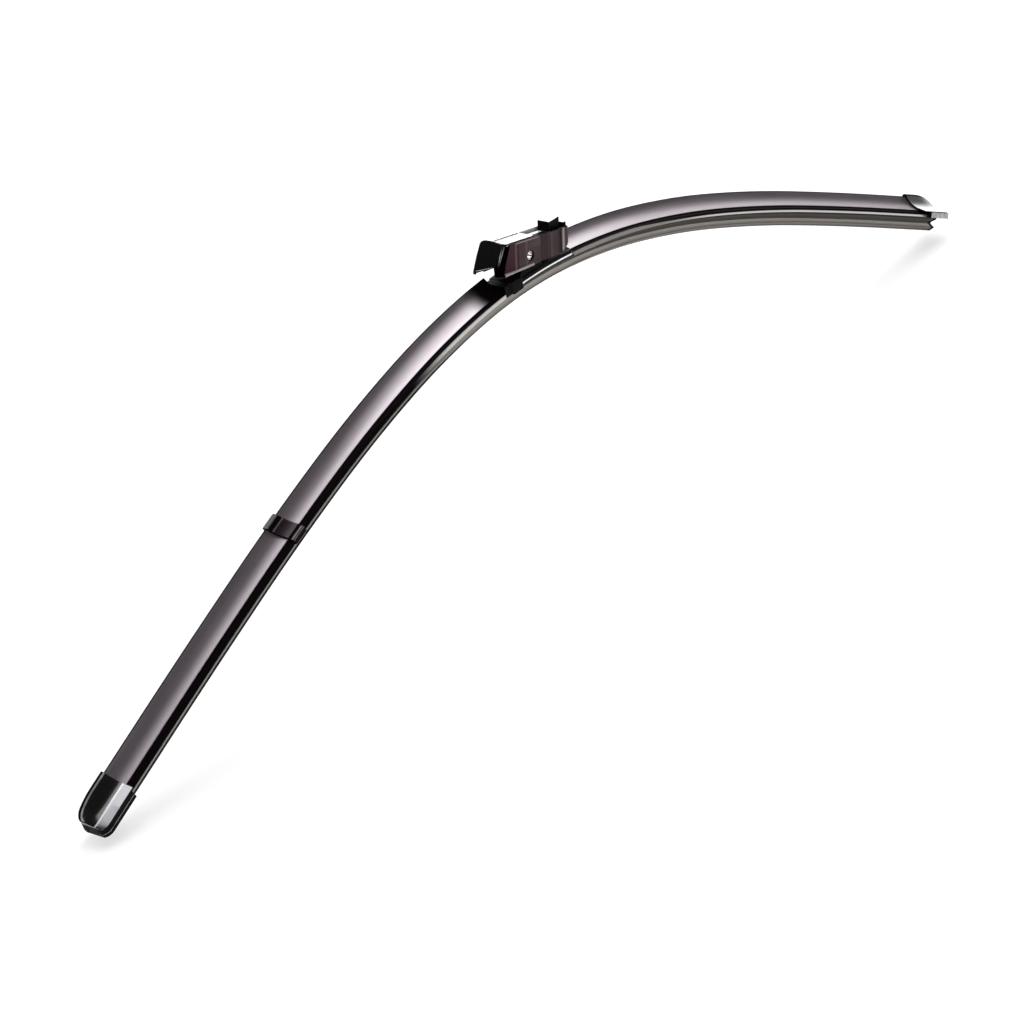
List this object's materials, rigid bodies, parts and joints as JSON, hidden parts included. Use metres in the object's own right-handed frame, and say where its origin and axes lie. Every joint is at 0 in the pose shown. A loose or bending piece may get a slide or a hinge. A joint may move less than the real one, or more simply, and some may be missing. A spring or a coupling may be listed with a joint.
{
  "type": "wiper blade",
  "caption": "Bowed flat wiper blade with a finned spoiler, capped ends and a rocking arm adapter that has a side pin hole and a press-to-release button.",
  "frame": {"origin": "centre of the side pin bore, on the axis that the adapter rocks on, above the middle of the blade", "axes": "+X along the blade towards its shorter side, +Y along the side pin towards the fin of the spoiler, +Z away from the glass"},
  "size_m": [0.6587, 0.0173, 0.1479],
  "materials": {
    "strip_rubber": "smooth moulded rubber with a slightly lighter working edge",
    "rail_steel": "rolled spring-steel strip",
    "spoiler_rubber": "satin extruded elastomer",
    "cap_plastic": "polished mould finish",
    "clip_plastic": "semi-gloss mould finish",
    "connector_plastic": "polished mould finish",
    "adapter_plastic": "semi-gloss mould finish with a maroon cast",
    "bush_steel": "bright drawn sleeve"
  },
  "bodies": {
    "adapter": {"adapter": "adapter_plastic", "adapter_hood": "connector_plastic"},
    "blade": {"connector_base": "connector_plastic", "pivot_bush": "bush_steel", "front_rail": "rail_steel", "rear_rail": "rail_steel", "wiper_rubber": "strip_rubber", "left_spoiler": "spoiler_rubber", "right_spoiler": "spoiler_rubber", "left_end_cap": "cap_plastic", "right_end_cap": "cap_plastic", "spoiler_clip": "clip_plastic"},
    "lever": {"release_lever": "connector_plastic"}
  },
  "joints": [
    {"name": "blade_rock", "type": "hinge", "parent": "adapter", "child": "blade", "pos_m": [0, 0, 0], "axis": [0, 1, 0], "range_deg": [-2, 11.5]},
    {"name": "lever_press", "type": "hinge", "parent": "adapter", "child": "lever", "pos_m": [-0.00898, 0, 0.00833], "axis": [0, 1, 0], "range_deg": [0, 3], "stiffness_Nm_per_rad": 1, "springref_deg": -1.72}
  ]
}
